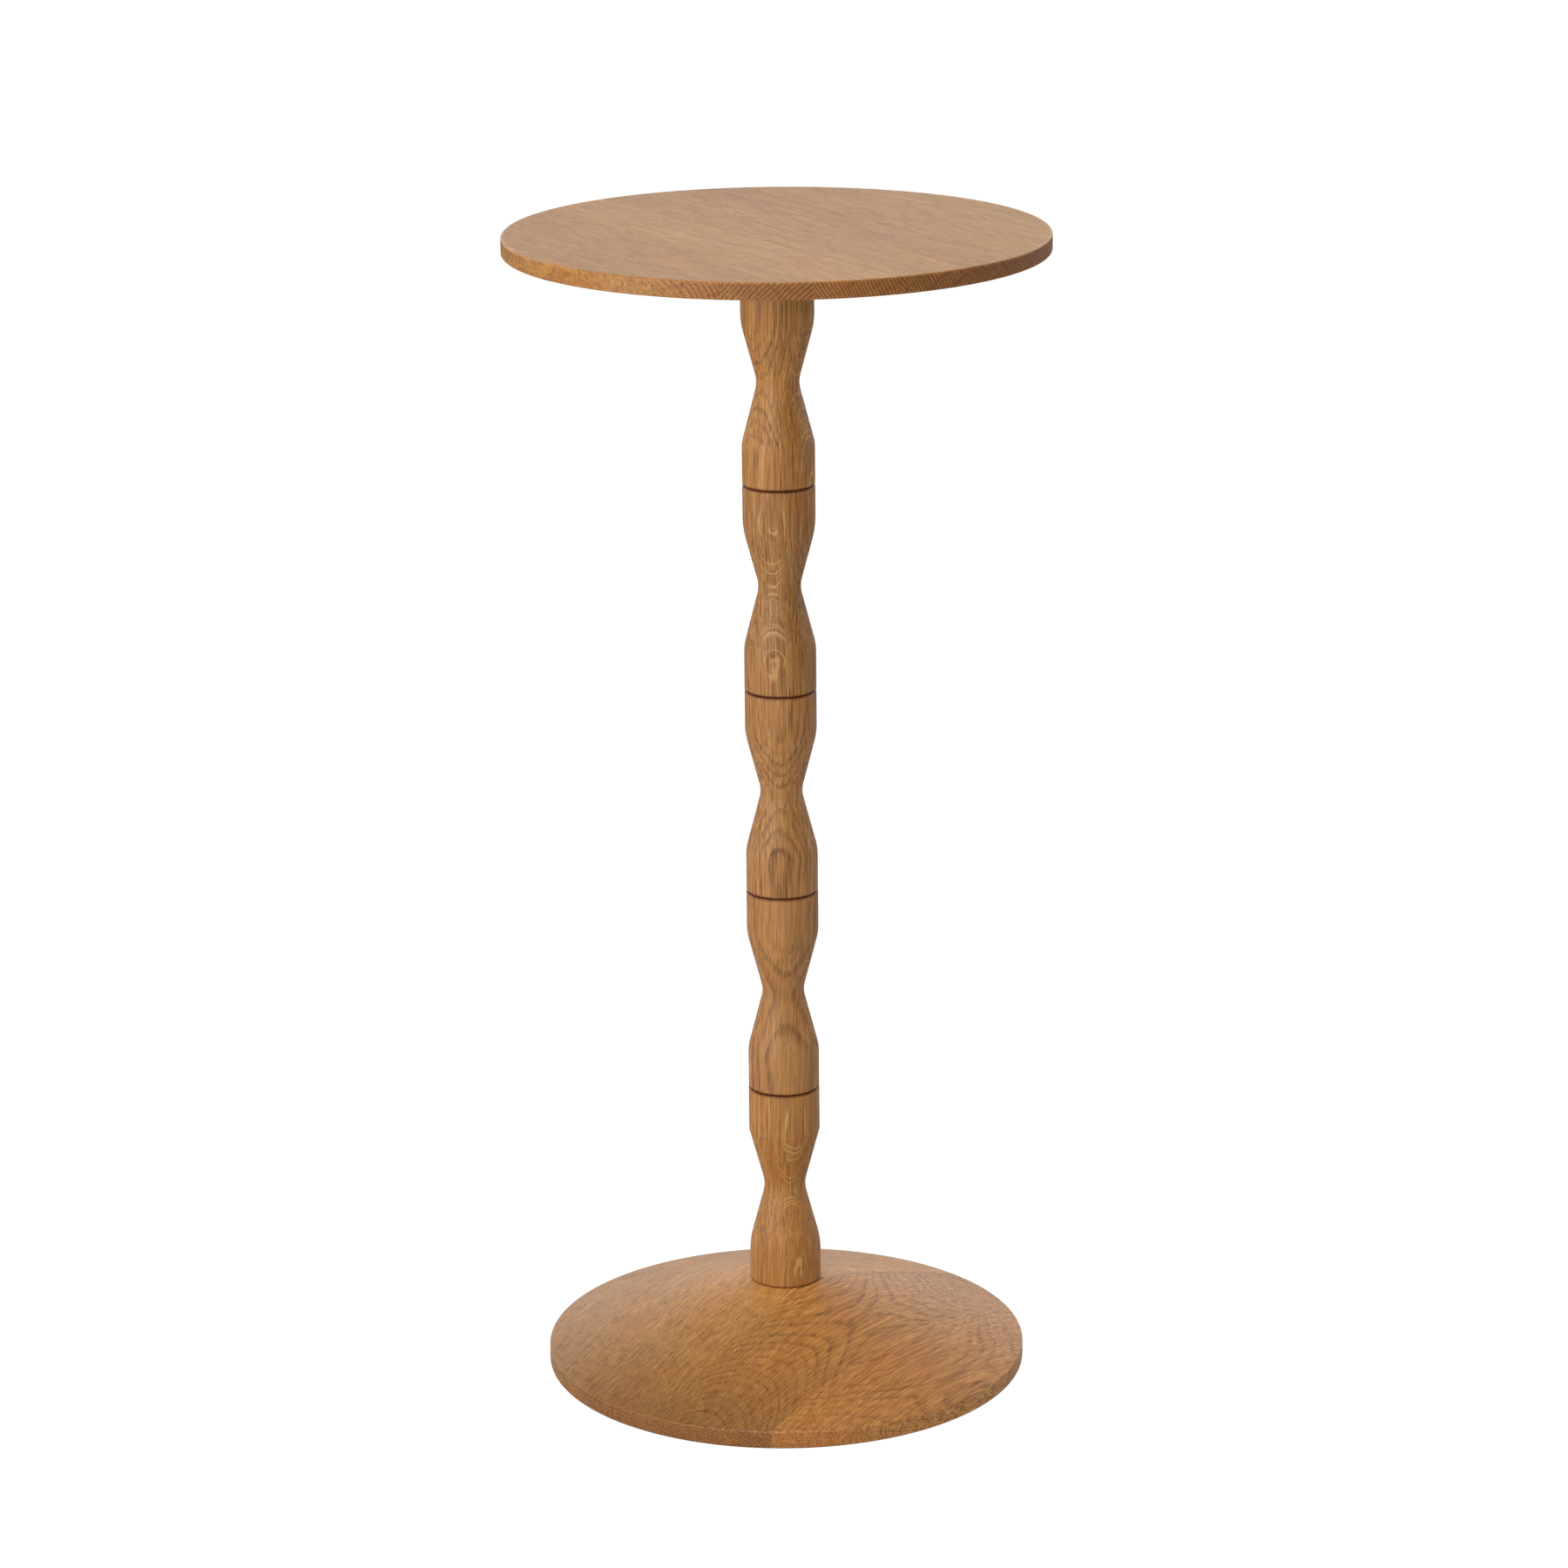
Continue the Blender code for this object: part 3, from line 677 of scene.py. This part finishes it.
def turned_metal(name, dull, bright, roughness, scale):
    """Metal turned or rolled about Z: fine level scratches, and stains in slow patches."""
    material, graph, shader = new_material(name)
    place = graph.object_place()
    x, y, z = graph.split(place)
    radius = graph.math("SQRT", graph.math("ADD", graph.product(x, x), graph.product(y, y)))
    scratches = graph.noise(graph.combine(graph.product(radius, SCRATCH_SCALE), 0.0,
                                          graph.product(z, SCRATCH_SCALE)), detail=1.0)
    stains = graph.noise(place, scale=scale, detail=4.0, roughness=0.6)
    dullness = graph.line(stains, *STAIN_DULLNESS_RANGE, roughness + STAIN_DULLNESS, roughness)
    graph.put(shader["Base Color"], graph.blend(graph.ramp(stains, *STAIN_RANGE), dull, bright))
    graph.put(shader["Roughness"],
              graph.math("ADD", dullness, graph.product(scratches, SCRATCH_DULLNESS)))
    graph.put(shader["Normal"], graph.bump(scratches, *METAL_BUMP))
    shader["Metallic"].default_value = 1.0
    return material


def felt():
    """Dark wool felt: matted fibres with a soft sheen."""
    material, graph, shader = new_material("dark_felt")
    place = graph.object_place()
    mat = graph.noise(place, scale=WOOL_SCALE, detail=4.0, roughness=0.7)
    patches = graph.noise(place, scale=WOOL_PATCH_SCALE)
    wool = graph.math("MULTIPLY_ADD", patches, 0.5, graph.product(mat, 0.5))
    graph.put(shader["Base Color"],
              graph.blend(graph.ramp(wool, *WOOL_RANGE), DARK_WOOL, PALE_WOOL))
    graph.put(shader["Roughness"], graph.line(mat, *WOOL_ROUGHNESS))
    graph.put(shader["Normal"], graph.bump(mat, *WOOL_BUMP))
    shader["Sheen Weight"].default_value = 0.4
    shader["Sheen Roughness"].default_value = 0.5
    shader["Specular IOR Level"].default_value = 0.2
    return material


def finish_hidden_parts():
    """Give the hardware and the pads, which stay as the CAD made them, their materials."""
    steel = turned_metal("zinc_plate", *ZINC)
    brass = turned_metal("turned_brass", *BRASS)
    wool = felt()
    finishes = {"top_flange": steel, "flange_screw": steel, "spindle_stud": steel,
                "base_bolt": steel, "base_washer": steel, "spindle_insert": brass,
                "felt_pad": wool}
    for name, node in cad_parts.items():
        for start, material in finishes.items():
            if name.startswith(start):
                for place in node.material_slots:
                    place.link = "OBJECT"
                    place.material = material


# ---------------------------------------------------------------- wooden pieces

def seam_height(n):
    """Height of the lower end of spindle n."""
    return COLUMN_TOP - SPINDLE_PITCH * n


def add_boards(name, shape, boards, angle, height, cut, group, node):
    """A shape sawn into the boards that it was glued up from."""
    bearing = math.radians(angle)
    direction = Vector((-math.sin(bearing), math.cos(bearing), 0.0))
    low = -SAW_REACH
    for n, board in enumerate(boards, 1):
        high = board["to"] / MM
        material = board_oak(f"{name}_oak_{n}", group, board, angle, height, cut)
        piece = sawn(shape, direction, low, high if n < len(boards) else SAW_REACH)
        finished(f"{name}_board_{n}", piece, material, [node])
        low = high
    shape.free()


def add_top(group):
    """The disc: flat above, bevelled below to a thin upright edge, and recessed for the flange."""
    plate_recess = COLUMN_TOP + FIT_GAP + FLANGE_THICKNESS
    boss_recess = plate_recess + FLANGE_BOSS_HEIGHT + FIT_GAP
    plate_wall = FLANGE_RADIUS + FIT_GAP
    boss_wall = FLANGE_BOSS_RADIUS + FIT_GAP
    points = outline(
        (0.0, TOTAL_HEIGHT),
        (TOP_RADIUS, TOTAL_HEIGHT, TOP_ARRIS),
        (TOP_RADIUS, TOTAL_HEIGHT - TOP_EDGE_HEIGHT, TOP_ARRIS),
        (TOP_FLAT_RADIUS, COLUMN_TOP),
        (plate_wall, COLUMN_TOP),
        (plate_wall, plate_recess + FIT_GAP),
        (boss_wall, plate_recess + FIT_GAP),
        (boss_wall, boss_recess),
        (0.0, boss_recess))
    shape = turned(points, DISC_STEPS)
    add_boards("top", shape, TOP_BOARDS, TOP_GRAIN_ANGLE, TOTAL_HEIGHT, TOP_CUT, group,
               "top_disc")


def spindle_outline(shape, bottom):
    """A collar at each end and two cones that meet in a waist, at its height in the column."""
    size = {name: value / MM for name, value in shape.items()}
    low = bottom + SEAM_GAP / 2.0
    high = bottom + SPINDLE_PITCH - SEAM_GAP / 2.0
    return outline(
        (0.0, high - STUD_BORE_DEPTH),
        (STUD_BORE_RADIUS, high - STUD_BORE_DEPTH),
        (STUD_BORE_RADIUS, high),
        (size["head"], high, SPINDLE_ARRIS),
        (size["head"], bottom + SPINDLE_PITCH - size["head_collar"], size["head_rounding"]),
        (size["waist"], bottom + size["waist_height"], size["waist_rounding"]),
        (size["foot"], bottom + size["foot_collar"], size["foot_rounding"]),
        (size["foot"], low, SPINDLE_ARRIS),
        (INSERT_BORE_RADIUS, low),
        (INSERT_BORE_RADIUS, low + INSERT_BORE_DEPTH),
        (0.0, low + INSERT_BORE_DEPTH))


def add_spindles(group):
    for n, (shape, log) in enumerate(zip(SPINDLE_SHAPES, SPINDLE_LOGS), 1):
        bottom = seam_height(n)
        material = spindle_oak(f"column_oak_{n}", group, log, bottom)
        piece = turned(spindle_outline(shape, bottom), SPINDLE_STEPS)
        finished(f"column_spindle_{n}", piece, material, [f"spindle_{n}"])


def add_base(group):
    """The domed base: an upright rim, a recessed underside, and a counterbore for the bolt."""
    seat_edge = (BASE_SEAT_RADIUS, BASE_HEIGHT)
    rim_edge = (BASE_RADIUS, BASE_RIM_HEIGHT)
    recess_ceiling = BASE_UNDERSIDE + BASE_RECESS_DEPTH
    bore_ceiling = recess_ceiling + COUNTERBORE_DEPTH
    points = outline(
        (BOLT_HOLE_RADIUS, BASE_HEIGHT),
        seat_edge,
        *bulging_line(seat_edge, rim_edge, BASE_DOME_BULGE, BASE_DOME_STEPS),
        (*rim_edge, BASE_ARRIS),
        (BASE_RADIUS, BASE_UNDERSIDE, BASE_FOOT_ROUNDING),
        (BASE_RING_RADIUS, BASE_UNDERSIDE),
        (BASE_RECESS_RADIUS, recess_ceiling),
        (COUNTERBORE_RADIUS, recess_ceiling),
        (COUNTERBORE_RADIUS, bore_ceiling),
        (BOLT_HOLE_RADIUS, bore_ceiling))
    shape = turned(points, DISC_STEPS, ring=True)
    add_boards("base", shape, BASE_BOARDS, BASE_GRAIN_ANGLE, BASE_HEIGHT, BASE_CUT, group,
               "base")


# ---------------------------------------------------------------- stage

FLOOR_REACH = 14.0
MATT_FLOOR = (0.70, 0.70, 0.70, 1.0)         # as it lights the object
SHADED_FLOOR = (0.22, 0.22, 0.22, 1.0)       # the part of its look that takes shadows
FLOOR_GLOW = 0.98                            # and the part that doesn't

# Soft boxes: bearing, elevation and power. Bearing 0 is the camera's side, and 90 is +X.
LAMP_SIZE = 1.3
LAMP_DISTANCE = 2.6
LAMP_AIM_HEIGHT = 0.35
LAMPS = (
    ("low_left_light", -60.0, 5.0, 17.0),
    ("front_left_light", -30.0, 20.0, 20.0),
    ("front_light", 0.0, 20.0, 8.0),
    ("overhead_light", -15.0, 70.0, 20.0),
    ("high_front_light", 0.0, 50.0, 6.5),
    ("high_right_light", 90.0, 70.0, 9.0),
    ("back_light", 150.0, 35.0, 2.0),
)

WHITE = (1.0, 1.0, 1.0, 1.0)
BACKDROP_STRENGTH = 1.28
BACKDROP_SIDE = (-0.08, 0.08)
BACKDROP_TOP = (0.50, 0.60)


def stage_shader(graph, lighting, seen):
    """One shader for the light that a stage surface gives, and another for what the eye sees."""
    eye = graph.node("ShaderNodeLightPath").outputs["Is Camera Ray"]
    return graph.node("ShaderNodeMixShader", inputs={0: eye, 1: lighting, 2: seen}).outputs[0]


def floor_paint():
    """A pale floor that lights the object as a matt one does, and looks almost white."""
    material = bpy.data.materials.new("floor_paint")
    material.use_nodes = True
    graph = Graph(material.node_tree)
    graph.tree.nodes.clear()
    matt = graph.node("ShaderNodeBsdfDiffuse", inputs={"Color": MATT_FLOOR})
    shaded = graph.node("ShaderNodeBsdfDiffuse", inputs={"Color": SHADED_FLOOR})
    lit = graph.node("ShaderNodeEmission", inputs={"Strength": FLOOR_GLOW})
    pale = graph.node("ShaderNodeAddShader", inputs={0: shaded.outputs[0], 1: lit.outputs[0]})
    graph.node("ShaderNodeOutputMaterial",
               inputs={"Surface": stage_shader(graph, matt.outputs[0], pale.outputs[0])})
    return material


def add_floor():
    shape = bmesh.new()
    corners = ((-FLOOR_REACH, -FLOOR_REACH), (FLOOR_REACH, -FLOOR_REACH),
               (FLOOR_REACH, FLOOR_REACH), (-FLOOR_REACH, FLOOR_REACH))
    shape.faces.new([shape.verts.new((x, y, 0.0)) for x, y in corners])
    mesh = bpy.data.meshes.new("floor")
    shape.to_mesh(mesh)
    shape.free()
    mesh.materials.append(floor_paint())
    floor = bpy.data.objects.new("floor", mesh)
    bpy.context.collection.objects.link(floor)


def add_lamp(name, bearing, elevation, power):
    """A square soft box aimed at the middle of the column."""
    bearing, elevation = math.radians(bearing), math.radians(elevation)
    aim = Vector((0.0, 0.0, LAMP_AIM_HEIGHT))
    spoke = Vector((math.sin(bearing) * math.cos(elevation),
                    -math.cos(bearing) * math.cos(elevation),
                    math.sin(elevation)))
    data = bpy.data.lights.new(name, "AREA")
    data.shape = "SQUARE"
    data.size = LAMP_SIZE
    data.energy = power
    lamp = bpy.data.objects.new(name, data)
    bpy.context.collection.objects.link(lamp)
    lamp.location = aim + spoke * LAMP_DISTANCE
    lamp.rotation_euler = (-spoke).to_track_quat("-Z", "Y").to_euler()


def add_world():
    """A bright backdrop behind the object, up to a third of the way overhead."""
    world = bpy.data.worlds.new("studio")
    world.use_nodes = True
    graph = Graph(world.node_tree)
    graph.tree.nodes.clear()
    _, depth, height = graph.split(graph.node("ShaderNodeTexCoord").outputs["Generated"])
    lit = graph.product(graph.ramp(depth, *BACKDROP_SIDE),
                        graph.ramp(height, *BACKDROP_TOP, 1.0, 0.0))
    backdrop = graph.node("ShaderNodeBackground", inputs={
        "Color": WHITE, "Strength": graph.product(lit, BACKDROP_STRENGTH)})
    white = graph.node("ShaderNodeBackground", inputs={"Color": WHITE})
    graph.node("ShaderNodeOutputWorld",
               inputs={"Surface": stage_shader(graph, backdrop.outputs[0], white.outputs[0])})
    bpy.context.scene.world = world


def add_camera():
    data = bpy.data.cameras.new("camera")
    data.sensor_width = SENSOR_WIDTH
    data.lens = CAMERA_LENS
    camera = bpy.data.objects.new("camera", data)
    bpy.context.collection.objects.link(camera)
    turn = (Matrix.Rotation(-CAMERA_YAW, 3, "Z")
            @ Matrix.Rotation(math.pi / 2.0 - CAMERA_PITCH, 3, "X")
            @ Matrix.Rotation(CAMERA_ROLL, 3, "Z"))
    camera.matrix_world = Matrix.Translation(CAMERA_PLACE) @ turn.to_4x4()
    bpy.context.scene.camera = camera


def main():
    group = oak_group()
    add_top(group)
    add_spindles(group)
    add_base(group)
    finish_hidden_parts()
    add_floor()
    for lamp in LAMPS:
        add_lamp(*lamp)
    add_world()
    add_camera()
    bpy.context.scene.view_settings.view_transform = "Standard"


main()
